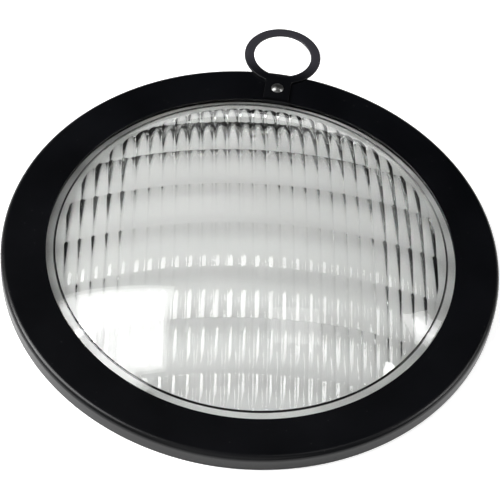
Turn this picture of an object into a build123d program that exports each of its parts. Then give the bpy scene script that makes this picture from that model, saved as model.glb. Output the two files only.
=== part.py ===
from build123d import *
import os
from math import cos, hypot, radians, sin, sqrt

os.makedirs("parts", exist_ok=True)

# Spread lens in its holder frame, for a PAR-type stage light. Millimetres.
# The origin is on the frame's axis, in the plane of the frame's rear edge.
# +Z points out of the front of the glass, and the finger loop is on +Y.

# ---- driving dimensions ----
frame_radius = 95.0
frame_height = 7.0
opening_radius = 78.0
sheet = 0.8
corner_radius = 2.0
round_handle = 0.5523
lip_round = 0.25

tab_count = 4
tab_width = 14.0
tab_reach = 7.0
tab_angle = 45.0

lens_radius = 81.0
rim_front = 5.8
rim_back = 2.3
rim_round = 0.6
foot_radius = 74.4
foot_height = 6.9
foot_groove_outer = 75.0
foot_groove_floor = 6.0
shoulder_height = 7.25
shoulder_end = 78.0
dome_height = 25.5
rear_height_at_axis = 19.6
rear_radius = 153.2
lens_turn = 7.3

flute_pitch = 5.0
flute_depth = 0.8
flute_reach = 16
band_pitch = 20.0
band_sag = 0.6
band_reach = 4
band_lift = 0.14
field_flute_depth = 0.55
field_flutes = 9
field_bands = 2
field_step = 0.15

gasket_inner = 79.0
gasket_outer = 81.6

retainer_inner = 78.4
retainer_outer = 93.9
retainer_fold_inner = 81.4
retainer_fold_top = 4.6

spring_angles = (90.0, 210.0, 330.0)
spring_width = 9.0
spring_sheet = 0.4
spring_outer = 92.0
spring_bend = 84.5
spring_rise_end = 80.6
spring_pad_end = 79.3
spring_toe = 0.7
spring_toe_drop = 0.15
spring_gap = 0.05
spring_notch = 9.6
spring_notch_depth = 4.0
spring_rivet_radius = 88.0
spring_rivet_shank = 1.2
spring_rivet_head = 2.2
spring_rivet_head_height = 0.6
spring_rivet_edge = 0.2
spring_rivet_crown = 1.6
spring_rivet_chamfer = 0.3

loop_sheet = 1.0
loop_centre = 103.8
loop_outer = 15.8
loop_inner = 11.8
strap_width = 10.4
strap_end = 76.8
hook_bottom = 6.7
hook_bend = 0.9
neck_round = 1.5

rivet_place = 84.6
rivet_shank = 1.5
rivet_head = 2.55
rivet_head_height = 1.3
rivet_head_edge = 0.15
rivet_tail = 2.25
rivet_tail_height = 0.9
rivet_tail_chamfer = 0.4

# ---- sizes that follow ----
face_back = frame_height - sheet
wall_inner = frame_radius - sheet
fold_outer = retainer_fold_inner + 2 * sheet
flange_top = 2 * sheet
loop_top = frame_height + loop_sheet


def rolled_corner(start, radius):
    """quarter turn from the flat face down to the wall, round to within a thousandth of its radius"""
    handle = radius * round_handle
    end = Vector(start) + Vector(radius, -radius)
    return Bezier(start, Vector(start) + Vector(handle, 0), end + Vector(0, handle), end)


def sphere_radius(chord, rise):
    """radius of the sphere whose cap has this half chord and this rise"""
    return (chord * chord + rise * rise) / (2 * rise)


def around(angle):
    """axis at the origin that points along this angle in the ground plane"""
    return (cos(radians(angle)), sin(radians(angle)), 0)


# ---- front frame: flat face, rolled corner, short outer wall, rear tabs ----
with BuildPart() as front_frame:
    with BuildSketch(Plane.XZ):
        with BuildLine():
            corner_inner = corner_radius - sheet
            outside = Polyline(
                (opening_radius, frame_height),
                (frame_radius - corner_radius, frame_height),
            )
            rolled = rolled_corner(outside @ 1, corner_radius)
            Polyline(
                rolled @ 1,
                (frame_radius, 0),
                (wall_inner, 0),
                (wall_inner, face_back - corner_inner),
            )
            inside = rolled_corner((wall_inner - corner_inner, face_back), corner_inner)
            Polyline(inside @ 0, (opening_radius, face_back), (opening_radius, frame_height))
        make_face()
    revolve(axis=Axis.Z)
    # tabs folded in from the wall's rear edge, which hold the retainer
    with BuildSketch(Plane.XY):
        with PolarLocations(wall_inner - tab_reach / 2, tab_count, start_angle=tab_angle):
            Rectangle(tab_reach + sheet, tab_width)
    extrude(amount=sheet)
    with Locations((0, rivet_place, frame_height)):
        Hole(rivet_shank, depth=2 * sheet)
    circles = front_frame.edges().filter_by(GeomType.CIRCLE)
    lip_edges = circles.filter_by(lambda edge: abs(edge.radius - opening_radius) < lip_round)
    fillet(lip_edges.sort_by(Axis.Z)[-1], radius=lip_round)
front_frame.part.label = "front_frame"
export_step(front_frame.part, "parts/front_frame.step")

# ---- lip gasket: thin fibre ring between the lip and the glass ----
with BuildPart() as lip_gasket:
    with BuildSketch(Plane.XY.offset(rim_front)):
        Circle(gasket_outer)
        Circle(gasket_inner, mode=Mode.SUBTRACT)
    extrude(amount=face_back - rim_front)
lip_gasket.part.label = "lip_gasket"
export_step(lip_gasket.part, "parts/lip_gasket.step")

# ---- spread lens ----
dome_radius = sphere_radius(foot_radius, dome_height - foot_height)
rear_centre = rear_height_at_axis - rear_radius


def rear_height(distance):
    """height of the smooth rear sphere above its centre, at this distance from its axis"""
    return sqrt(rear_radius * rear_radius - distance * distance)


def in_step(index, reach):
    """True for a flute or band that lies in the stepped field in the middle"""
    return -reach <= index < reach


def band_circle(band):
    """centre and radius of a band's own arc across its length, through the sphere at both ends"""
    near = band * band_pitch
    far = near + band_pitch
    low = rear_height(near)
    high = rear_height(far)
    chord = hypot(far - near, high - low)
    sag = band_sag + rear_radius - sqrt(rear_radius * rear_radius - chord * chord / 4)
    radius = sphere_radius(chord / 2, sag)
    depth = radius - sag
    centre_y = (near + far) / 2 + (high - low) / chord * depth
    centre_z = (low + high) / 2 - (far - near) / chord * depth
    return centre_y, centre_z, radius


def band_cutter(band):
    """the air behind one band: a scalloped outline turned about the centre of the band's arc,
    trimmed to the band; each band is cut a little deeper than the one nearer the middle"""
    centre_y, centre_z, radius = band_circle(band)
    bands_out = band if band >= 0 else -band - 1
    outer_base = radius - rear_radius + band_lift * bands_out
    side = flute_reach * flute_pitch
    with BuildPart() as air:
        with BuildSketch(Plane.XZ):
            with BuildLine():
                corner = (-side, 0)
                for flute in range(-flute_reach, flute_reach):
                    in_field = in_step(flute, field_flutes) and in_step(band, field_bands)
                    depth = field_flute_depth if in_field else flute_depth
                    base = outer_base + field_step if in_field else outer_base
                    left = flute * flute_pitch
                    right = left + flute_pitch
                    middle = (left + right) / 2
                    start = (left, base + rear_height(left))
                    top = (middle, base + rear_height(middle) + depth)
                    end = (right, base + rear_height(right))
                    # the side of the outline, or the side of the stepped field
                    if start != corner:
                        Line(corner, start)
                    ThreePointArc(start, top, end)
                    corner = end
                Polyline(corner, (side, 0), (-side, 0))
            make_face()
        revolve(axis=Axis.X)
    slab = Box(
        2 * side + flute_pitch,
        band_pitch,
        3 * dome_height,
        align=(Align.CENTER, Align.MIN, Align.CENTER),
    ).moved(Location((0, band * band_pitch, rear_radius)))
    trimmed = air.part.moved(Location((0, centre_y, centre_z))) & slab
    return trimmed.rotate(Axis.Z, lens_turn).moved(Location((0, 0, rear_centre)))


# shallow flutes on the stepped field in the middle, deep flutes all round it
band_cutters = [band_cutter(band) for band in range(-band_reach, band_reach)]

with BuildPart() as spread_lens:
    with BuildSketch(Plane.XZ):
        with BuildLine():
            rim = Polyline(
                (0, rim_back),
                (lens_radius - rim_round, rim_back),
                (lens_radius, rim_back + rim_round),
                (lens_radius, rim_front - rim_round),
                (lens_radius - rim_round, rim_front),
                (shoulder_end, rim_front),
                (foot_groove_outer, shoulder_height),
                (foot_groove_outer, foot_groove_floor),
                (foot_radius, foot_groove_floor),
                (foot_radius, foot_height),
            )
            middle = foot_radius / 2
            dome = ThreePointArc(
                rim @ 1,
                (middle, dome_height - dome_radius + sqrt(dome_radius**2 - middle**2)),
                (0, dome_height),
            )
            Line(dome @ 1, rim @ 0)
        make_face()
    revolve(axis=Axis.Z)
    for cutter in band_cutters:
        add(cutter, mode=Mode.SUBTRACT)
spread_lens.part.label = "spread_lens"
export_step(spread_lens.part, "parts/spread_lens.step")

# ---- rear retainer: flat ring on the tabs, with a standing fold that centres the glass ----
with BuildPart() as rear_retainer:
    with BuildSketch(Plane.XZ):
        Polygon(
            (retainer_inner, sheet),
            (retainer_outer, sheet),
            (retainer_outer, flange_top),
            (fold_outer, flange_top),
            (fold_outer, retainer_fold_top),
            (retainer_fold_inner, retainer_fold_top),
            (retainer_fold_inner, flange_top),
            (retainer_inner, flange_top),
            align=None,
        )
    revolve(axis=Axis.Z)
    for angle in spring_angles:
        # notch that lets the spring through the fold, and the rivet's hole
        with BuildSketch(Plane.XY.offset(flange_top)):
            with PolarLocations((retainer_fold_inner + fold_outer) / 2, 1, start_angle=angle):
                Rectangle(spring_notch_depth, spring_notch)
        extrude(amount=frame_height, mode=Mode.SUBTRACT)
        with BuildSketch(Plane.XY):
            with PolarLocations(spring_rivet_radius, 1, start_angle=angle):
                Circle(spring_rivet_shank)
        extrude(amount=frame_height, mode=Mode.SUBTRACT)
rear_retainer.part.label = "rear_retainer"
export_step(rear_retainer.part, "parts/rear_retainer.step")

# ---- leaf springs that press the glass forward ----
leaf_middle = flange_top + spring_sheet / 2
pad_middle = rim_back - spring_gap - spring_sheet / 2
for number, angle in enumerate(spring_angles, start=1):
    radial = Plane(origin=(0, 0, 0), x_dir=around(angle), z_dir=around(angle - 90))
    with BuildPart() as lens_spring:
        with BuildSketch(radial):
            with BuildLine():
                leaf = Polyline(
                    (spring_outer, leaf_middle),
                    (spring_bend, leaf_middle),
                    (spring_rise_end, pad_middle),
                    (spring_pad_end, pad_middle),
                    (spring_pad_end - spring_toe, pad_middle - spring_toe_drop),
                )
                offset(leaf, amount=spring_sheet / 2, kind=Kind.INTERSECTION)
            make_face()
        extrude(amount=spring_width / 2, both=True)
        with BuildSketch(Plane.XY):
            with PolarLocations(spring_rivet_radius, 1, start_angle=angle):
                Circle(spring_rivet_shank)
        extrude(amount=frame_height, mode=Mode.SUBTRACT)
    name = f"lens_spring_{number}"
    lens_spring.part.label = name
    export_step(lens_spring.part, f"parts/{name}.step")

# ---- one rivet for each spring, set from the front before the glass goes in ----
with BuildPart() as spring_rivets:
    with BuildSketch(Plane.XZ):
        low = sheet - spring_rivet_head_height
        high = flange_top + spring_sheet
        Polygon(
            (0, low),
            (spring_rivet_head - spring_rivet_chamfer, low),
            (spring_rivet_head, low + spring_rivet_chamfer),
            (spring_rivet_head, sheet),
            (spring_rivet_shank, sheet),
            (spring_rivet_shank, high),
            (spring_rivet_head, high),
            (spring_rivet_head, high + spring_rivet_edge),
            (spring_rivet_crown, high + spring_rivet_head_height),
            (0, high + spring_rivet_head_height),
            align=None,
        )
    revolve(axis=Axis.Z)
rivet_places = [Vector(around(angle)) * spring_rivet_radius for angle in spring_angles]
rivet_group = Compound(
    children=[spring_rivets.part.moved(Location(place)) for place in rivet_places]
)
rivet_group.label = "spring_rivets"
export_step(rivet_group, "parts/spring_rivets.step")

# ---- finger loop: flat ring on a strap, with its end turned down over the lip ----
with BuildPart() as finger_loop:
    with BuildSketch(Plane.XY.offset(frame_height)):
        with Locations((0, (strap_end + loop_centre) / 2)):
            Rectangle(strap_width, loop_centre - strap_end)
        with Locations((0, loop_centre)):
            Circle(loop_outer)
            Circle(loop_inner, mode=Mode.SUBTRACT)
        with Locations((0, rivet_place)):
            Circle(rivet_shank, mode=Mode.SUBTRACT)
    extrude(amount=loop_sheet)
    with BuildSketch(Plane.XY.offset(hook_bottom)):
        with Locations((0, strap_end + loop_sheet / 2)):
            Rectangle(strap_width, loop_sheet)
    extrude(amount=frame_height - hook_bottom)
    # the strap bends over at its end, and its sides run into the ring with a small round
    fillet(
        finger_loop.edges().filter_by(Axis.X).group_by(Axis.Y)[0].sort_by(Axis.Z)[-1],
        radius=hook_bend,
    )
    upright = finger_loop.edges().filter_by(Axis.Z)
    fillet(upright.filter_by_position(Axis.Y, rivet_place, loop_centre), radius=neck_round)
finger_loop.part.label = "finger_loop"
export_step(finger_loop.part, "parts/finger_loop.step")

# ---- loop rivet: domed head, shank, set tail behind the face ----
with BuildPart() as loop_rivet:
    with BuildSketch(Plane.XZ):
        with BuildLine():
            tail_low = face_back - rivet_tail_height
            stem = Polyline(
                (0, tail_low),
                (rivet_tail - rivet_tail_chamfer, tail_low),
                (rivet_tail, tail_low + rivet_tail_chamfer),
                (rivet_tail, face_back),
                (rivet_shank, face_back),
                (rivet_shank, loop_top),
                (rivet_head, loop_top),
                (rivet_head, loop_top + rivet_head_edge),
            )
            head_top = loop_top + rivet_head_height
            head_radius = sphere_radius(rivet_head, rivet_head_height - rivet_head_edge)
            half = rivet_head / 2
            crown = ThreePointArc(
                stem @ 1,
                (half, head_top - head_radius + sqrt(head_radius**2 - half**2)),
                (0, head_top),
            )
            Line(crown @ 1, stem @ 0)
        make_face()
    revolve(axis=Axis.Z)
loop_rivet_placed = loop_rivet.part.moved(Location((0, rivet_place, 0)))
loop_rivet_placed.label = "loop_rivet"
export_step(loop_rivet_placed, "parts/loop_rivet.step")
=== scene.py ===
from math import asin, atan2, cos, degrees, hypot, pi, radians, sin, sqrt

import bmesh
import bpy
from mathutils import Matrix, Vector


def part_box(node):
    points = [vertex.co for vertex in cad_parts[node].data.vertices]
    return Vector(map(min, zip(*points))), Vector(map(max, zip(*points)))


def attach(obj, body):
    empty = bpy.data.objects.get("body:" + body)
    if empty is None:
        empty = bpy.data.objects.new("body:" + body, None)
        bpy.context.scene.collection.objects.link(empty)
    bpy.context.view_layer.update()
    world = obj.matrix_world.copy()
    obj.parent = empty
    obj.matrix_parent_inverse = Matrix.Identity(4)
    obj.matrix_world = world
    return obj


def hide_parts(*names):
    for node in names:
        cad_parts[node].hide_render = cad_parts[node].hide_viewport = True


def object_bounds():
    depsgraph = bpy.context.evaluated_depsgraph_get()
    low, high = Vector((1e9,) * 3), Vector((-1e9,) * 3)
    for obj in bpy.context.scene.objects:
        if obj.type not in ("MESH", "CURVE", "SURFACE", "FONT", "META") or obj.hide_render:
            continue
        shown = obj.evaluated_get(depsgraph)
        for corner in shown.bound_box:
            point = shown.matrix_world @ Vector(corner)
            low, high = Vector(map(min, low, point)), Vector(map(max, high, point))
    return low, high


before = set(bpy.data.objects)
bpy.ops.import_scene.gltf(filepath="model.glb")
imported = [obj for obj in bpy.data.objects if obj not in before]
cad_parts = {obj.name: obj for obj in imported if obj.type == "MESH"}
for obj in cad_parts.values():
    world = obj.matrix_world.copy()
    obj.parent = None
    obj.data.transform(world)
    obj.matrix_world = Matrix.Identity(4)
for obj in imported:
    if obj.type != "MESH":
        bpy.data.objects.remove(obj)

# A spread lens in its black holder frame, lying face up on a white floor. Metres.
# The holder's axis is +Z and its finger loop is on +Y.
cad_low, cad_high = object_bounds()
MM = 0.001

# ---- sizes read from the frame ----
frame_low, frame_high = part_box("front_frame")
lens_low, lens_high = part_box("spread_lens")
loop_low, loop_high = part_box("finger_loop")
rivet_low, rivet_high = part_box("loop_rivet")
FRAME_RADIUS = frame_high.x
FRAME_TOP = frame_high.z
LENS_RADIUS = lens_high.x
RIM_BACK = lens_low.z
DOME_TOP = lens_high.z
LOOP_TOP = loop_high.z
LOOP_OUTER = loop_high.x
LOOP_CENTRE = loop_high.y - LOOP_OUTER
STRAP_END = loop_low.y
HOOK_BOTTOM = loop_low.z
RIVET_PLACE = (rivet_low.y + rivet_high.y) / 2
RIVET_HEAD = rivet_high.x

# ---- sizes of the holder ----
OPENING_RADIUS = 78.0 * MM
SHEET = 0.8 * MM
CORNER_RADIUS = 2.0 * MM
LIP_ROUND = 0.25 * MM
TAB_COUNT = 4
TAB_WIDTH = 14.0 * MM
TAB_REACH = 7.0 * MM
TAB_ANGLE = 45.0
TAB_ROUND = 1.5 * MM
LOOP_SHEET = 1.0 * MM
LOOP_INNER = 11.8 * MM
STRAP_WIDTH = 10.4 * MM
LOOP_EDGE = 0.28 * MM
HOOK_BEND = 0.9 * MM
# painted sheen on the finger loop's ring: it grows from nothing to full between these distances along Y
LOOP_SHEEN_START = 90.0 * MM
LOOP_SHEEN_FULL = 103.0 * MM
RIVET_SHANK = 1.5 * MM
RIVET_TAIL = 2.25 * MM
RIVET_CHAMFER = 0.4 * MM
NECK_ROUND = 1.5 * MM
HOOK_OVERLAP = 0.6 * MM
SHEET_EDGE = 0.15 * MM
FRAME_SEGMENTS = 512
LENS_SEGMENTS = 384

# painted light: a glow on the floor from just inside the holder's edge outward, which washes out its
# cast shadow
FLOOR_GLOW = 0.6
GLOW_START = FRAME_RADIUS - 3 * MM
GLOW_END = FRAME_RADIUS + 1 * MM

# ---- sizes of the glass ----
RIM_FRONT = 5.8 * MM
RIM_ROUND = 0.6 * MM
FOOT_RADIUS = 74.4 * MM
FOOT_HEIGHT = 6.9 * MM
GROOVE_OUTER = 75.0 * MM
GROOVE_FLOOR = 6.0 * MM
SHOULDER_HEIGHT = 7.25 * MM
SHOULDER_END = 78.0 * MM
REAR_AT_AXIS = 19.6 * MM
REAR_RADIUS = 153.2 * MM
LENS_TURN = radians(7.3)
FLUTE_PITCH = 5.0 * MM
FLUTE_DEPTH = 0.80 * MM
FIELD_FLUTE_DEPTH = 0.55 * MM
FLUTE_REACH = 16
RIDGE_SHARE = 0.12
BAND_PITCH = 20.0 * MM
BAND_SAG = 0.60 * MM
BAND_REACH = 4
FIELD_FLUTES = 9
FIELD_BANDS = 2
FIELD_STEP = 0.15 * MM
DOME_RADIUS = (FOOT_RADIUS ** 2 + (DOME_TOP - FOOT_HEIGHT) ** 2) / (2 * (DOME_TOP - FOOT_HEIGHT))
RIM_BLEND = 0.3 * MM
# rows of painted shade along the lines between the bands: their shift, sharpness and darkest tone
ROW_SHIFT = 2.5 * MM
ROW_SHARPNESS = 3.0
ROW_SHADE_TONE = 0.70
PRESSED_REACH = 78.2 * MM
# painted dark line of shade in the groove at the dome's foot: full up to the first Y, fading to the
# least share by the second, toward the loop
GROOVE_SHADE_FADE_START = 10.0 * MM
GROOVE_SHADE_FADE_END = 60.0 * MM
GROOVE_SHADE_LEAST = 0.15
GLASS_IOR = 1.49

# ---- colours ----
BLACK_LOW = (0.0010, 0.0011, 0.0016, 1)
BLACK_HIGH = (0.0022, 0.0024, 0.0034, 1)
# the lighter grey of the painted sheen on the finger loop's ring
LOOP_SHEEN_GREY = (0.027, 0.026, 0.031, 1)
PLATE_COLOUR = (0.15, 0.15, 0.147, 1)


# ---------------------------------------------------------------- mesh helpers
def finish_mesh(name, bm, body, sharp=radians(35), replaced=()):
    """turns a bmesh into a smooth shaded piece that rides on a body"""
    bmesh.ops.remove_doubles(bm, verts=bm.verts, dist=1e-7)
    bmesh.ops.recalc_face_normals(bm, faces=bm.faces)
    mesh = bpy.data.meshes.new(name)
    bm.to_mesh(mesh)
    bm.free()
    mesh.shade_smooth()
    mesh.set_sharp_from_angle(angle=sharp)
    piece = bpy.data.objects.new(name, mesh)
    bpy.context.scene.collection.objects.link(piece)
    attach(piece, body)
    if replaced:
        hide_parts(*replaced)
    return piece


def arc(centre, radius, start, end, steps):
    """points on an arc, from one angle in degrees to another"""
    points = []
    for step in range(steps + 1):
        angle = radians(start + (end - start) * step / steps)
        points.append((centre[0] + radius * cos(angle), centre[1] + radius * sin(angle)))
    return points


def held(start, end, margin):
    """a straight run with an extra point near each end, which keeps its shading flat"""
    length = hypot(end[0] - start[0], end[1] - start[1])
    points = []
    for share in (0, margin / length, 1 - margin / length, 1):
        points.append((start[0] + (end[0] - start[0]) * share, start[1] + (end[1] - start[1]) * share))
    return points


def lathe(bm, profile, segments, closed=True, centre=(0, 0)):
    """a profile of (radius, height) points turned about the vertical axis through centre"""
    rings = []
    for radius, height in profile:
        if radius < 1e-7:
            rings.append([bm.verts.new((centre[0], centre[1], height))])
            continue
        ring = []
        for step in range(segments):
            angle = 2 * pi * step / segments
            ring.append(bm.verts.new((
                centre[0] + radius * cos(angle),
                centre[1] + radius * sin(angle),
                height,
            )))
        rings.append(ring)
    pairs = list(zip(rings, rings[1:]))
    if closed:
        pairs.append((rings[-1], rings[0]))
    for ring, following in pairs:
        for step in range(segments):
            after = (step + 1) % segments
            corners = [ring[step % len(ring)], ring[after % len(ring)],
                       following[after % len(following)], following[step % len(following)]]
            corners = list(dict.fromkeys(corners))
            if len(corners) > 2:
                bm.faces.new(corners)


# ---------------------------------------------------------------- front frame
def front_frame_profile():
    """flat face, rolled corner and short wall, all of one sheet"""
    inner = CORNER_RADIUS - SHEET
    wall_inner = FRAME_RADIUS - SHEET
    face_back = FRAME_TOP - SHEET
    edge = SHEET_EDGE
    profile = arc((OPENING_RADIUS + LIP_ROUND, FRAME_TOP - LIP_ROUND), LIP_ROUND, 180, 90, 5)
    profile += held(
        (OPENING_RADIUS + LIP_ROUND, FRAME_TOP), (FRAME_RADIUS - CORNER_RADIUS, FRAME_TOP), 0.3 * MM
    )[1:-1]
    profile += arc((FRAME_RADIUS - CORNER_RADIUS, FRAME_TOP - CORNER_RADIUS), CORNER_RADIUS, 90, 0, 14)
    profile += held((FRAME_RADIUS, FRAME_TOP - CORNER_RADIUS), (FRAME_RADIUS, edge), 0.2 * MM)[1:-1]
    profile += arc((FRAME_RADIUS - edge, edge), edge, 0, -90, 3)
    profile += arc((wall_inner + edge, edge), edge, -90, -180, 3)
    profile += held((wall_inner, edge), (wall_inner, face_back - inner), 0.2 * MM)[1:-1]
    profile += arc((wall_inner - inner, face_back - inner), inner, 0, 90, 10)
    profile += held((wall_inner - inner, face_back), (OPENING_RADIUS + edge, face_back), 0.3 * MM)[1:-1]
    profile += arc((OPENING_RADIUS + edge, face_back + edge), edge, 270, 180, 3)
    return profile


def make_front_frame():
    """the turned sheet ring, which stands in for the CAD's frame"""
    bm = bmesh.new()
    lathe(bm, front_frame_profile(), FRAME_SEGMENTS)
    return finish_mesh("frame_shell", bm, "holder", replaced=("front_frame",))


def flat_plate(bm, loops, low, high, round_over, square=()):
    """a flat plate from closed outlines, with its rims rounded; edges whose ends both lie on a
    y value listed in square stay sharp, because another piece carries on there"""
    edges = []
    for points in loops:
        verts = [bm.verts.new((x, y, high)) for x, y in points]
        for first, second in zip(verts, verts[1:] + verts[:1]):
            edges.append(bm.edges.new((first, second)))
    filled = bmesh.ops.triangle_fill(bm, edges=edges, use_beauty=True)
    faces = [item for item in filled["geom"] if isinstance(item, bmesh.types.BMFace)]
    raised = bmesh.ops.extrude_face_region(bm, geom=faces, use_keep_orig=True)
    lowered = [item for item in raised["geom"] if isinstance(item, bmesh.types.BMVert)]
    bmesh.ops.translate(bm, verts=lowered, vec=(0, 0, low - high))
    bmesh.ops.recalc_face_normals(bm, faces=bm.faces)
    bm.normal_update()
    rims = []
    for edge in bm.edges:
        ends = [vert.co for vert in edge.verts]
        if len(edge.link_faces) != 2 or edge.calc_face_angle(0) < radians(50):
            continue
        if abs(ends[0].z - ends[1].z) > 1e-6:
            continue
        if any(all(abs(end.y - value) < 1e-6 for end in ends) for value in square):
            continue
        rims.append(edge)
    bmesh.ops.bevel(bm, geom=rims, offset=round_over, segments=3, profile=0.5, affect="EDGES")


def make_frame_tabs():
    """four tabs folded in from the wall's rear edge; they hold the retainer"""
    wall_inner = FRAME_RADIUS - SHEET
    tip = wall_inner - TAB_REACH
    half = TAB_WIDTH / 2
    outline = [(-half, wall_inner + SHEET / 2), (-half, tip + TAB_ROUND)]
    outline += arc((-half + TAB_ROUND, tip + TAB_ROUND), TAB_ROUND, 180, 270, 6)[1:]
    outline += arc((half - TAB_ROUND, tip + TAB_ROUND), TAB_ROUND, 270, 360, 6)
    outline += [(half, wall_inner + SHEET / 2)]
    bm = bmesh.new()
    for number in range(TAB_COUNT):
        single = bmesh.new()
        flat_plate(single, [outline], 0, SHEET, SHEET_EDGE, square=(wall_inner + SHEET / 2,))
        turn = radians(TAB_ANGLE + number * 360 / TAB_COUNT - 90)
        bmesh.ops.rotate(
            single, verts=single.verts, cent=(0, 0, 0), matrix=Matrix.Rotation(turn, 3, "Z")
        )
        mesh = bpy.data.meshes.new("tab")
        single.to_mesh(mesh)
        single.free()
        bm.from_mesh(mesh)
        bpy.data.meshes.remove(mesh)
    return finish_mesh("frame_tabs", bm, "holder")


# ---------------------------------------------------------------- spread lens
def sphere_height(distance):
    """height of the smooth rear sphere above its centre, at this distance from its axis"""
    return sqrt(REAR_RADIUS * REAR_RADIUS - distance * distance)


def flute_scoop(x, flute, depth):
    """how deep a flute is at x: a parabola that turns back to meet the next flute in a rounded ridge"""
    share = abs(x / FLUTE_PITCH - flute - 0.5) * 2
    ridge = 1 - RIDGE_SHARE
    if share < ridge:
        return depth * (1 - share * share / ridge)
    return depth * (1 - share) ** 2 / RIDGE_SHARE


def band_scoop(y, band):
    """how deep a band is at y: a parabola that ends on the smooth sphere at both of its lines"""
    share = 2 * (y / BAND_PITCH - band) - 1
    return BAND_SAG * (1 - share * share)


def smooth_max(first, second, blend):
    """the larger of two heights, with a small round where they cross"""
    overlap = max(blend - abs(first - second), 0) / blend
    return max(first, second) + overlap * overlap * blend / 4


def rear_height(x, y, flute, band):
    """the rear surface: a sphere scooped into flutes one way and bands the other, with a
    stepped field in the middle; it runs out into the rim's flat back"""
    if -FIELD_FLUTES <= flute < FIELD_FLUTES and -FIELD_BANDS <= band < FIELD_BANDS:
        scoop = FIELD_STEP + flute_scoop(x, flute, FIELD_FLUTE_DEPTH)
    else:
        scoop = flute_scoop(x, flute, FLUTE_DEPTH)
    sphere = REAR_AT_AXIS - REAR_RADIUS + sphere_height(hypot(x, y))
    return smooth_max(sphere + band_scoop(y, band) + scoop, RIM_BACK, RIM_BLEND)


def stations(low, high, count):
    """evenly spaced values from low to high, both ends included"""
    return [low + (high - low) * step / count for step in range(count + 1)]


def fluted_surface(bm):
    """the pressed rear surface, out to the plain outer part of the rim's back"""
    columns = []
    for flute in range(-FLUTE_REACH, FLUTE_REACH):
        for x in stations(flute * FLUTE_PITCH, (flute + 1) * FLUTE_PITCH, 16):
            columns.append((x, flute))
    rows = []
    for band in range(-BAND_REACH, BAND_REACH):
        for y in stations(band * BAND_PITCH, (band + 1) * BAND_PITCH, 32):
            rows.append((y, band))
    grid = []
    for y, band in rows:
        line = []
        for x, flute in columns:
            inside = hypot(x, y) < PRESSED_REACH
            line.append(bm.verts.new((x, y, rear_height(x, y, flute, band))) if inside else None)
        grid.append(line)
    for line, after in zip(grid, grid[1:]):
        for first in range(len(line) - 1):
            corners = (line[first], line[first + 1], after[first + 1], after[first])
            if None not in corners:
                bm.faces.new(corners)
    bmesh.ops.remove_doubles(bm, verts=bm.verts, dist=1e-7)
    loose = [vert for vert in bm.verts if not vert.link_faces]
    bmesh.ops.delete(bm, geom=loose, context="VERTS")
    bmesh.ops.rotate(bm, verts=bm.verts, cent=(0, 0, 0), matrix=Matrix.Rotation(LENS_TURN, 3, "Z"))
    return [edge for edge in bm.edges if edge.is_boundary]


def lens_profile():
    """back edge of the rim, rim, foot and dome"""
    foot_angle = degrees(asin(FOOT_RADIUS / DOME_RADIUS))
    profile = [(LENS_RADIUS - RIM_ROUND, RIM_BACK)]
    profile += arc((LENS_RADIUS - RIM_ROUND, RIM_BACK + RIM_ROUND), RIM_ROUND, -90, 0, 4)[1:]
    profile += arc((LENS_RADIUS - RIM_ROUND, RIM_FRONT - RIM_ROUND), RIM_ROUND, 0, 90, 4)
    profile += held((LENS_RADIUS - RIM_ROUND, RIM_FRONT), (SHOULDER_END, RIM_FRONT), 0.2 * MM)[1:]
    profile += held((SHOULDER_END, RIM_FRONT), (GROOVE_OUTER, SHOULDER_HEIGHT), 0.2 * MM)[1:]
    profile += [(GROOVE_OUTER, GROOVE_FLOOR), (FOOT_RADIUS, GROOVE_FLOOR)]
    profile += arc((0, DOME_TOP - DOME_RADIUS), DOME_RADIUS, 90 - foot_angle, 90, 72)[:-1]
    profile.append((0, DOME_TOP))
    return profile


def make_lens():
    """the glass: pressed rear surface, rim, groove and dome, closed between them"""
    bm = bmesh.new()
    scallops = fluted_surface(bm)
    before = set(bm.edges)
    lathe(bm, lens_profile(), LENS_SEGMENTS, closed=False)
    outer = [edge for edge in bm.edges if edge not in before and edge.is_boundary]
    bmesh.ops.triangle_fill(bm, edges=scallops + outer, use_beauty=True, use_dissolve=False)
    return finish_mesh("glass", bm, "lens", sharp=radians(28), replaced=("spread_lens",))


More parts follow.
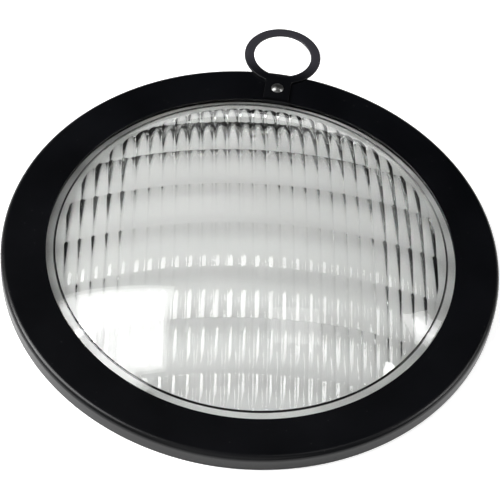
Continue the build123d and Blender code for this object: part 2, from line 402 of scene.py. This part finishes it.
# ---------------------------------------------------------------- finger loop and rivet
def make_loop():
    """flat ring on a strap whose end is turned down over the frame's lip"""
    bm = bmesh.new()
    half = STRAP_WIDTH / 2
    neck = NECK_ROUND
    low = STRAP_END + LOOP_SHEET
    # the neck round touches the strap's side and the ring's outside
    reach = LOOP_OUTER + neck
    neck_x = half + neck
    neck_y = LOOP_CENTRE - sqrt(reach * reach - neck_x * neck_x)
    touch = degrees(atan2(neck_y - LOOP_CENTRE, neck_x))
    right = [(half, low), (half, (low + neck_y) / 2)]
    right += arc((neck_x, neck_y), neck, 180, 180 + touch, 8)
    ring = arc((0, LOOP_CENTRE), LOOP_OUTER, touch, 180 - touch, 96)[1:-1]
    left = [(-x, y) for x, y in reversed(right)]
    outline = right + ring + left
    hole = arc((0, LOOP_CENTRE), LOOP_INNER, 0, 360, 96)[:-1]
    flat_plate(bm, [outline, hole], LOOP_TOP - LOOP_SHEET, LOOP_TOP, LOOP_EDGE, square=(low,))
    strap = finish_mesh("loop_ring", bm, "holder", replaced=("finger_loop",))
    # the hook: a quarter bend and a short leg
    bm = bmesh.new()
    section = arc((STRAP_END + HOOK_BEND, LOOP_TOP - HOOK_BEND), HOOK_BEND, 90, 180, 8)
    section += [(STRAP_END, HOOK_BOTTOM), (low, HOOK_BOTTOM)]
    section += [(low, LOOP_TOP - LOOP_SHEET), (low + HOOK_OVERLAP, LOOP_TOP - LOOP_SHEET)]
    section += [(low + HOOK_OVERLAP, LOOP_TOP)]
    first = [bm.verts.new((-half, y, z)) for y, z in section]
    face = bm.faces.new(first)
    swept = bmesh.ops.extrude_face_region(bm, geom=[face], use_keep_orig=True)
    moved = [item for item in swept["geom"] if isinstance(item, bmesh.types.BMVert)]
    bmesh.ops.translate(bm, verts=moved, vec=(2 * half, 0, 0))
    bmesh.ops.recalc_face_normals(bm, faces=bm.faces)
    hook = finish_mesh("loop_hook", bm, "holder")
    return [strap, hook]


def make_rivet():
    """the loop's rivet: low domed head, shank and a chamfered tail"""
    bm = bmesh.new()
    top = rivet_high.z
    bottom = rivet_low.z
    edge = SHEET_EDGE
    rise = top - LOOP_TOP - edge
    radius = (RIVET_HEAD ** 2 + rise ** 2) / (2 * rise)
    spread = degrees(asin(RIVET_HEAD / radius))
    tail = RIVET_TAIL
    face_back = FRAME_TOP - SHEET
    profile = [(0, bottom), (tail - RIVET_CHAMFER, bottom)]
    profile += [(tail, bottom + RIVET_CHAMFER), (tail, face_back)]
    profile += [(RIVET_SHANK, face_back), (RIVET_SHANK, LOOP_TOP), (RIVET_HEAD, LOOP_TOP)]
    profile += arc((0, top - radius), radius, 90 - spread, 90, 16)[:-1] + [(0, top)]
    lathe(bm, profile, 64, closed=False, centre=(0, RIVET_PLACE))
    return finish_mesh("rivet_head", bm, "holder", replaced=("loop_rivet",))


# ---------------------------------------------------------------- materials
def new_material(name):
    """an empty material with its nodes, links and main shader"""
    material = bpy.data.materials.new(name)
    material.use_nodes = True
    nodes = material.node_tree.nodes
    return material, nodes, material.node_tree.links, nodes["Principled BSDF"]


def black_finish(name, low, high, rough_low, rough_high, specular, sheen=None):
    """a black coat: its tone drifts, its surface has a fine grain, and a few specks lie on it; the last
    argument is a lighter grey, a painted sheen, laid on the finger loop's ring beyond the frame's edge"""
    material, nodes, links, shader = new_material(name)
    shader.inputs["Specular IOR Level"].default_value = specular
    place = nodes.new("ShaderNodeTexCoord")
    grain = nodes.new("ShaderNodeTexNoise")
    grain.inputs["Scale"].default_value = 900
    grain.inputs["Detail"].default_value = 3
    cloud = nodes.new("ShaderNodeTexNoise")
    cloud.inputs["Scale"].default_value = 35
    cloud.inputs["Detail"].default_value = 6
    specks = nodes.new("ShaderNodeTexVoronoi")
    specks.inputs["Scale"].default_value = 260
    tone = nodes.new("ShaderNodeValToRGB")
    tone.color_ramp.elements[0].position = 0.3
    tone.color_ramp.elements[0].color = low
    tone.color_ramp.elements[1].position = 0.75
    tone.color_ramp.elements[1].color = high
    dust = nodes.new("ShaderNodeMapRange")
    dust.inputs["From Min"].default_value = 0.07
    dust.inputs["From Max"].default_value = 0.03
    dust.inputs["To Max"].default_value = 0.5
    mix = nodes.new("ShaderNodeMixRGB")
    mix.inputs["Color2"].default_value = (0.05, 0.05, 0.05, 1)
    rough = nodes.new("ShaderNodeMapRange")
    rough.inputs["To Min"].default_value = rough_low
    rough.inputs["To Max"].default_value = rough_high
    bump = nodes.new("ShaderNodeBump")
    bump.inputs["Strength"].default_value = 0.12
    bump.inputs["Distance"].default_value = 0.00006
    for texture in (grain, cloud, specks):
        links.new(place.outputs["Object"], texture.inputs["Vector"])
    links.new(cloud.outputs["Fac"], tone.inputs["Fac"])
    links.new(specks.outputs["Distance"], dust.inputs["Value"])
    links.new(dust.outputs["Result"], mix.inputs["Fac"])
    links.new(tone.outputs["Color"], mix.inputs["Color1"])
    links.new(mix.outputs["Color"], shader.inputs["Base Color"])
    # painted sheen: the colour turns to the lighter grey along Y, on the loop's ring past the frame's
    # edge
    if sheen:
        place_parts = nodes.new("ShaderNodeSeparateXYZ")
        sheen_reach = nodes.new("ShaderNodeMapRange")
        sheen_reach.interpolation_type = "SMOOTHSTEP"
        sheen_reach.inputs["From Min"].default_value = LOOP_SHEEN_START
        sheen_reach.inputs["From Max"].default_value = LOOP_SHEEN_FULL
        sheen_mix = nodes.new("ShaderNodeMixRGB")
        sheen_mix.inputs["Color2"].default_value = sheen
        links.new(place.outputs["Object"], place_parts.inputs["Vector"])
        links.new(place_parts.outputs["Y"], sheen_reach.inputs["Value"])
        links.new(sheen_reach.outputs["Result"], sheen_mix.inputs["Fac"])
        links.new(mix.outputs["Color"], sheen_mix.inputs["Color1"])
        links.new(sheen_mix.outputs["Color"], shader.inputs["Base Color"])
    links.new(cloud.outputs["Fac"], rough.inputs["Value"])
    links.new(rough.outputs["Result"], shader.inputs["Roughness"])
    links.new(grain.outputs["Fac"], bump.inputs["Height"])
    links.new(bump.outputs["Normal"], shader.inputs["Normal"])
    return material


def clear_glass():
    """clear pressed glass, a little wavy, with rows of painted shade behind and a painted dark line of
    shade in its groove
    """
    material, nodes, links, shader = new_material("pressed_clear_glass")
    shader.inputs["IOR"].default_value = GLASS_IOR
    place = nodes.new("ShaderNodeTexCoord")
    # a slow waviness of the pressed surface
    wave = nodes.new("ShaderNodeTexNoise")
    wave.inputs["Scale"].default_value = 60
    wave.inputs["Detail"].default_value = 1
    bump = nodes.new("ShaderNodeBump")
    bump.inputs["Strength"].default_value = 0.25
    bump.inputs["Distance"].default_value = 0.0001
    links.new(place.outputs["Object"], wave.inputs["Vector"])
    links.new(wave.outputs["Fac"], bump.inputs["Height"])
    links.new(bump.outputs["Normal"], shader.inputs["Normal"])
    # painted shade: the glass behind the dome's front surface is tinted darker in rows along the lines
    # between the bands
    row_place = nodes.new("ShaderNodeVectorMath")
    row_place.operation = "DOT_PRODUCT"
    row_place.inputs[1].default_value = Vector((-sin(LENS_TURN), cos(LENS_TURN), 0))
    row_turn = nodes.new("ShaderNodeMath")
    row_turn.operation = "MULTIPLY_ADD"
    row_turn.inputs[1].default_value = pi / BAND_PITCH
    row_turn.inputs[2].default_value = pi * ROW_SHIFT / BAND_PITCH
    row_wave = nodes.new("ShaderNodeMath")
    row_wave.operation = "COSINE"
    row_level = nodes.new("ShaderNodeMath")
    row_level.operation = "ABSOLUTE"
    row_shape = nodes.new("ShaderNodeMath")
    row_shape.operation = "POWER"
    row_shape.inputs[1].default_value = ROW_SHARPNESS
    dome_reach = nodes.new("ShaderNodeVectorMath")
    dome_reach.operation = "DISTANCE"
    dome_reach.inputs[1].default_value = Vector((0, 0, DOME_TOP - DOME_RADIUS))
    behind = nodes.new("ShaderNodeMath")
    behind.operation = "LESS_THAN"
    behind.inputs[1].default_value = DOME_RADIUS - 1 * MM
    row_shade_mask = nodes.new("ShaderNodeMath")
    row_shade_mask.operation = "MULTIPLY"
    painted_row_shade = nodes.new("ShaderNodeMixRGB")
    painted_row_shade.inputs["Color1"].default_value = (0.975, 0.985, 0.97, 1)
    painted_row_shade.inputs["Color2"].default_value = (ROW_SHADE_TONE, ROW_SHADE_TONE, ROW_SHADE_TONE * 0.99, 1)
    links.new(place.outputs["Object"], row_place.inputs[0])
    links.new(row_place.outputs["Value"], row_turn.inputs[0])
    links.new(row_turn.outputs["Value"], row_wave.inputs[0])
    links.new(row_wave.outputs["Value"], row_level.inputs[0])
    links.new(row_level.outputs["Value"], row_shape.inputs[0])
    links.new(place.outputs["Object"], dome_reach.inputs[0])
    links.new(dome_reach.outputs["Value"], behind.inputs[0])
    links.new(row_shape.outputs["Value"], row_shade_mask.inputs[0])
    links.new(behind.outputs["Value"], row_shade_mask.inputs[1])
    links.new(row_shade_mask.outputs["Value"], painted_row_shade.inputs["Fac"])
    # painted shade: a dark line painted in the groove at the dome's foot, where the glass is made
    # darker and less clear, less of it toward the loop
    flat = nodes.new("ShaderNodeVectorMath")
    flat.operation = "MULTIPLY"
    flat.inputs[1].default_value = Vector((1, 1, 0))
    distance = nodes.new("ShaderNodeVectorMath")
    distance.operation = "LENGTH"
    in_groove = nodes.new("ShaderNodeMath")
    in_groove.operation = "COMPARE"
    in_groove.inputs[1].default_value = (FOOT_RADIUS + GROOVE_OUTER) / 2
    in_groove.inputs[2].default_value = (GROOVE_OUTER - FOOT_RADIUS) / 2 + 0.02 * MM
    height = nodes.new("ShaderNodeSeparateXYZ")
    sunk = nodes.new("ShaderNodeMath")
    sunk.operation = "COMPARE"
    sunk.inputs[1].default_value = GROOVE_FLOOR
    sunk.inputs[2].default_value = 0.75 * MM
    groove_shade_mask = nodes.new("ShaderNodeMath")
    groove_shade_mask.operation = "MULTIPLY"
    fade = nodes.new("ShaderNodeMapRange")
    fade.interpolation_type = "SMOOTHSTEP"
    fade.inputs["From Min"].default_value = GROOVE_SHADE_FADE_START
    fade.inputs["From Max"].default_value = GROOVE_SHADE_FADE_END
    fade.inputs["To Min"].default_value = 1
    fade.inputs["To Max"].default_value = GROOVE_SHADE_LEAST
    groove_shade = nodes.new("ShaderNodeMath")
    groove_shade.operation = "MULTIPLY"
    clear = nodes.new("ShaderNodeMath")
    clear.operation = "SUBTRACT"
    clear.inputs[0].default_value = 1
    tint = nodes.new("ShaderNodeMixRGB")
    links.new(painted_row_shade.outputs["Color"], tint.inputs["Color1"])
    tint.inputs["Color2"].default_value = (0.006, 0.006, 0.006, 1)
    dull = nodes.new("ShaderNodeMath")
    dull.operation = "MULTIPLY"
    dull.inputs[1].default_value = 0.6
    links.new(place.outputs["Object"], flat.inputs[0])
    links.new(flat.outputs["Vector"], distance.inputs[0])
    links.new(distance.outputs["Value"], in_groove.inputs[0])
    links.new(place.outputs["Object"], height.inputs["Vector"])
    links.new(height.outputs["Z"], sunk.inputs[0])
    links.new(in_groove.outputs["Value"], groove_shade_mask.inputs[0])
    links.new(sunk.outputs["Value"], groove_shade_mask.inputs[1])
    links.new(height.outputs["Y"], fade.inputs["Value"])
    links.new(groove_shade_mask.outputs["Value"], groove_shade.inputs[0])
    links.new(fade.outputs["Result"], groove_shade.inputs[1])
    links.new(groove_shade.outputs["Value"], clear.inputs[1])
    links.new(clear.outputs["Value"], shader.inputs["Transmission Weight"])
    links.new(groove_shade.outputs["Value"], tint.inputs["Fac"])
    links.new(tint.outputs["Color"], shader.inputs["Base Color"])
    links.new(groove_shade.outputs["Value"], dull.inputs[0])
    links.new(dull.outputs["Value"], shader.inputs["Roughness"])
    return material


def plated_steel():
    """plated steel with fine grain in its polish"""
    material, nodes, links, shader = new_material("bright_plate")
    shader.inputs["Metallic"].default_value = 1
    shader.inputs["Base Color"].default_value = PLATE_COLOUR
    place = nodes.new("ShaderNodeTexCoord")
    grain = nodes.new("ShaderNodeTexNoise")
    grain.inputs["Scale"].default_value = 1400
    rough = nodes.new("ShaderNodeMapRange")
    rough.inputs["To Min"].default_value = 0.3
    rough.inputs["To Max"].default_value = 0.42
    links.new(place.outputs["Object"], grain.inputs["Vector"])
    links.new(grain.outputs["Fac"], rough.inputs["Value"])
    links.new(rough.outputs["Result"], shader.inputs["Roughness"])
    return material


def spring_strip():
    """dark blued spring steel, with long grain"""
    material, nodes, links, shader = new_material("blued_spring_strip")
    shader.inputs["Metallic"].default_value = 1
    place = nodes.new("ShaderNodeTexCoord")
    stretch = nodes.new("ShaderNodeMapping")
    stretch.inputs["Scale"].default_value = Vector((1, 1, 8))
    grain = nodes.new("ShaderNodeTexNoise")
    grain.inputs["Scale"].default_value = 700
    grain.inputs["Detail"].default_value = 4
    tone = nodes.new("ShaderNodeValToRGB")
    tone.color_ramp.elements[0].color = (0.035, 0.04, 0.055, 1)
    tone.color_ramp.elements[1].color = (0.09, 0.095, 0.11, 1)
    rough = nodes.new("ShaderNodeMapRange")
    rough.inputs["To Min"].default_value = 0.28
    rough.inputs["To Max"].default_value = 0.45
    links.new(place.outputs["Object"], stretch.inputs["Vector"])
    links.new(stretch.outputs["Vector"], grain.inputs["Vector"])
    links.new(grain.outputs["Fac"], tone.inputs["Fac"])
    links.new(tone.outputs["Color"], shader.inputs["Base Color"])
    links.new(grain.outputs["Fac"], rough.inputs["Value"])
    links.new(rough.outputs["Result"], shader.inputs["Roughness"])
    return material


def fibre_tape():
    """dark heat-proof glass-fibre tape, woven of fine threads"""
    material, nodes, links, shader = new_material("woven_fibre_tape")
    shader.inputs["Roughness"].default_value = 0.85
    place = nodes.new("ShaderNodeTexCoord")
    weave = nodes.new("ShaderNodeTexChecker")
    weave.inputs["Scale"].default_value = 1600
    weave.inputs["Color1"].default_value = (0.016, 0.016, 0.015, 1)
    weave.inputs["Color2"].default_value = (0.034, 0.033, 0.031, 1)
    fuzz = nodes.new("ShaderNodeTexNoise")
    fuzz.inputs["Scale"].default_value = 2500
    bump = nodes.new("ShaderNodeBump")
    bump.inputs["Strength"].default_value = 0.4
    bump.inputs["Distance"].default_value = 0.0001
    links.new(place.outputs["Object"], weave.inputs["Vector"])
    links.new(place.outputs["Object"], fuzz.inputs["Vector"])
    links.new(weave.outputs["Color"], shader.inputs["Base Color"])
    links.new(fuzz.outputs["Fac"], bump.inputs["Height"])
    links.new(bump.outputs["Normal"], shader.inputs["Normal"])
    return material


def floor_with_painted_glow():
    """white floor, with a painted glow outside the holder"""
    material, nodes, links, shader = new_material("floor_with_painted_glow")
    shader.inputs["Base Color"].default_value = (0.9, 0.9, 0.9, 1)
    shader.inputs["Roughness"].default_value = 0.9
    shader.inputs["Specular IOR Level"].default_value = 0
    # painted light: the floor glows a little outside the holder, which washes out the holder's cast
    # shadow and keeps the background a clean white
    place = nodes.new("ShaderNodeTexCoord")
    distance = nodes.new("ShaderNodeVectorMath")
    distance.operation = "LENGTH"
    glow = nodes.new("ShaderNodeMapRange")
    glow.interpolation_type = "SMOOTHSTEP"
    glow.inputs["From Min"].default_value = GLOW_START
    glow.inputs["From Max"].default_value = GLOW_END
    glow.inputs["To Max"].default_value = FLOOR_GLOW
    shader.inputs["Emission Color"].default_value = (1, 1, 1, 1)
    links.new(place.outputs["Object"], distance.inputs[0])
    links.new(distance.outputs["Value"], glow.inputs["Value"])
    links.new(glow.outputs["Result"], shader.inputs["Emission Strength"])
    return material


def paint(pieces, material):
    """gives every piece this one material"""
    for piece in pieces:
        piece.data.materials.clear()
        piece.data.materials.append(material)


# ---------------------------------------------------------------- build the object
black = black_finish(
    "satin_black_paint", BLACK_LOW, BLACK_HIGH, rough_low=0.26, rough_high=0.36, specular=0.26
)
# the finger loop's paint, with a painted sheen on its ring
loop_black_with_sheen = black_finish(
    "black_paint_with_painted_sheen", BLACK_LOW, BLACK_HIGH, rough_low=0.34, rough_high=0.44, specular=0.18,
    sheen=LOOP_SHEEN_GREY,
)
glass = clear_glass()
plate = plated_steel()
paint([make_front_frame(), make_frame_tabs()], black)
paint(make_loop(), loop_black_with_sheen)
paint([make_lens()], glass)
paint([make_rivet()], plate)
paint([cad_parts["rear_retainer"]], black)
paint([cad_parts["spring_rivets"]], plate)
paint([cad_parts[f"lens_spring_{number}"] for number in (1, 2, 3)], spring_strip())
paint([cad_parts["lip_gasket"]], fibre_tape())


# ---------------------------------------------------------------- floor, light and camera
def make_floor():
    """a wide plain floor just below the object"""
    bm = bmesh.new()
    bmesh.ops.create_grid(bm, x_segments=8, y_segments=8, size=6.0)
    mesh = bpy.data.meshes.new("floor")
    bm.to_mesh(mesh)
    bm.free()
    floor = bpy.data.objects.new("floor", mesh)
    bpy.context.scene.collection.objects.link(floor)
    floor.location.z = cad_low.z - 0.02 * MM
    floor.data.materials.append(floor_with_painted_glow())


def softbox(name, centre, facing, side, width, height, radiance, feather=0.0):
    """a rectangular lamp that shines along facing, with its width along side; feather makes its
    edge fade, by building it from three sheets of growing size, one just behind the other"""
    forward = Vector(facing).normalized()
    z_axis = -forward
    y_axis = z_axis.cross(Vector(side)).normalized()
    x_axis = y_axis.cross(z_axis)
    rotation = Matrix((x_axis, y_axis, z_axis)).transposed().to_4x4()
    sheets = (-1, 0, 1) if feather else (0,)
    for sheet in sheets:
        lamp = bpy.data.lights.new(f"{name}_{sheet + 1}", "AREA")
        lamp.shape = "RECTANGLE"
        lamp.size = width + sheet * feather
        lamp.size_y = height + sheet * feather
        lamp.energy = radiance / len(sheets) * pi * lamp.size * lamp.size_y
        holder = bpy.data.objects.new(lamp.name, lamp)
        bpy.context.scene.collection.objects.link(holder)
        place = Vector(centre) - forward * 0.004 * sheet
        holder.matrix_world = Matrix.Translation(place) @ rotation


def make_world():
    """soft surround, darker high up behind the object"""
    world = bpy.data.worlds.new("studio")
    bpy.context.scene.world = world
    world.use_nodes = True
    nodes = world.node_tree.nodes
    links = world.node_tree.links
    background = nodes["Background"]
    place = nodes.new("ShaderNodeTexCoord")
    dark = nodes.new("ShaderNodeVectorMath")
    dark.operation = "DOT_PRODUCT"
    dark.inputs[1].default_value = Vector((0, cos(radians(40)), sin(radians(40))))
    ramp = nodes.new("ShaderNodeValToRGB")
    ramp.color_ramp.elements[0].position = 0.60
    ramp.color_ramp.elements[0].color = (1, 1, 1, 1)
    ramp.color_ramp.elements[1].position = 0.92
    ramp.color_ramp.elements[1].color = (0.03, 0.03, 0.03, 1)
    links.new(place.outputs["Generated"], dark.inputs[0])
    links.new(dark.outputs["Value"], ramp.inputs["Fac"])
    links.new(ramp.outputs["Color"], background.inputs["Color"])
    background.inputs["Strength"].default_value = 0.12


def make_camera():
    """the photographer's place, with a slight roll"""
    azimuth = radians(2.112)
    elevation = radians(50.7)
    roll = radians(6.441)
    distance = 0.720686
    aim = Vector((-0.00077, 0.004555, 0))
    back = Vector((sin(azimuth) * cos(elevation), -cos(azimuth) * cos(elevation), sin(elevation)))
    level = Vector((cos(azimuth), sin(azimuth), 0))
    up = back.cross(level)
    right = level * cos(roll) + up * sin(roll)
    top = up * cos(roll) - level * sin(roll)
    data = bpy.data.cameras.new("camera")
    data.lens = 134.808
    data.sensor_width = 36
    data.clip_start = 0.01
    camera = bpy.data.objects.new("camera", data)
    bpy.context.scene.collection.objects.link(camera)
    rotation = Matrix((right, top, back)).transposed().to_4x4()
    camera.matrix_world = Matrix.Translation(aim + back * distance) @ rotation
    bpy.context.scene.camera = camera


make_floor()
softbox(
    "key", centre=(-0.885, -0.03, 0.885), facing=(0.66, 0, -0.75), side=(0.75, 0, 0.66),
    width=1.03, height=0.58, radiance=11, feather=0.05,
)
softbox(
    "fill", centre=(0.31, 0.09, 1.16), facing=(-0.258, -0.075, -0.964), side=(0.234, 0.054, 0),
    width=0.31, height=0.24, radiance=2.6,
)
softbox(
    "side", centre=(0.91, 0.36, 0.69), facing=(-0.76, -0.30, -0.57), side=(0.067, 0.091, -0.138),
    width=0.13, height=0.13, radiance=14, feather=0.06,
)
softbox(
    "front", centre=(0, -1.15, 0.96), facing=(0, 0.77, -0.64), side=(1, 0, 0),
    width=1.2, height=0.8, radiance=1.0,
)
softbox(
    "left", centre=(-1.05, 0, 0.70), facing=(0.83, 0, -0.555), side=(0.555, 0, 0.83),
    width=0.6, height=0.16, radiance=14,
)
softbox(
    "right", centre=(1.05, 0, 0.70), facing=(-0.83, 0, -0.555), side=(0.555, 0, -0.83),
    width=0.6, height=0.16, radiance=17,
)
make_world()
make_camera()

scene = bpy.context.scene
scene.view_settings.view_transform = "Standard"
scene.cycles.max_bounces = 24
scene.cycles.transmission_bounces = 20
scene.cycles.glossy_bounces = 8
scene.cycles.diffuse_bounces = 4
scene.cycles.caustics_refractive = True
scene.cycles.caustics_reflective = True
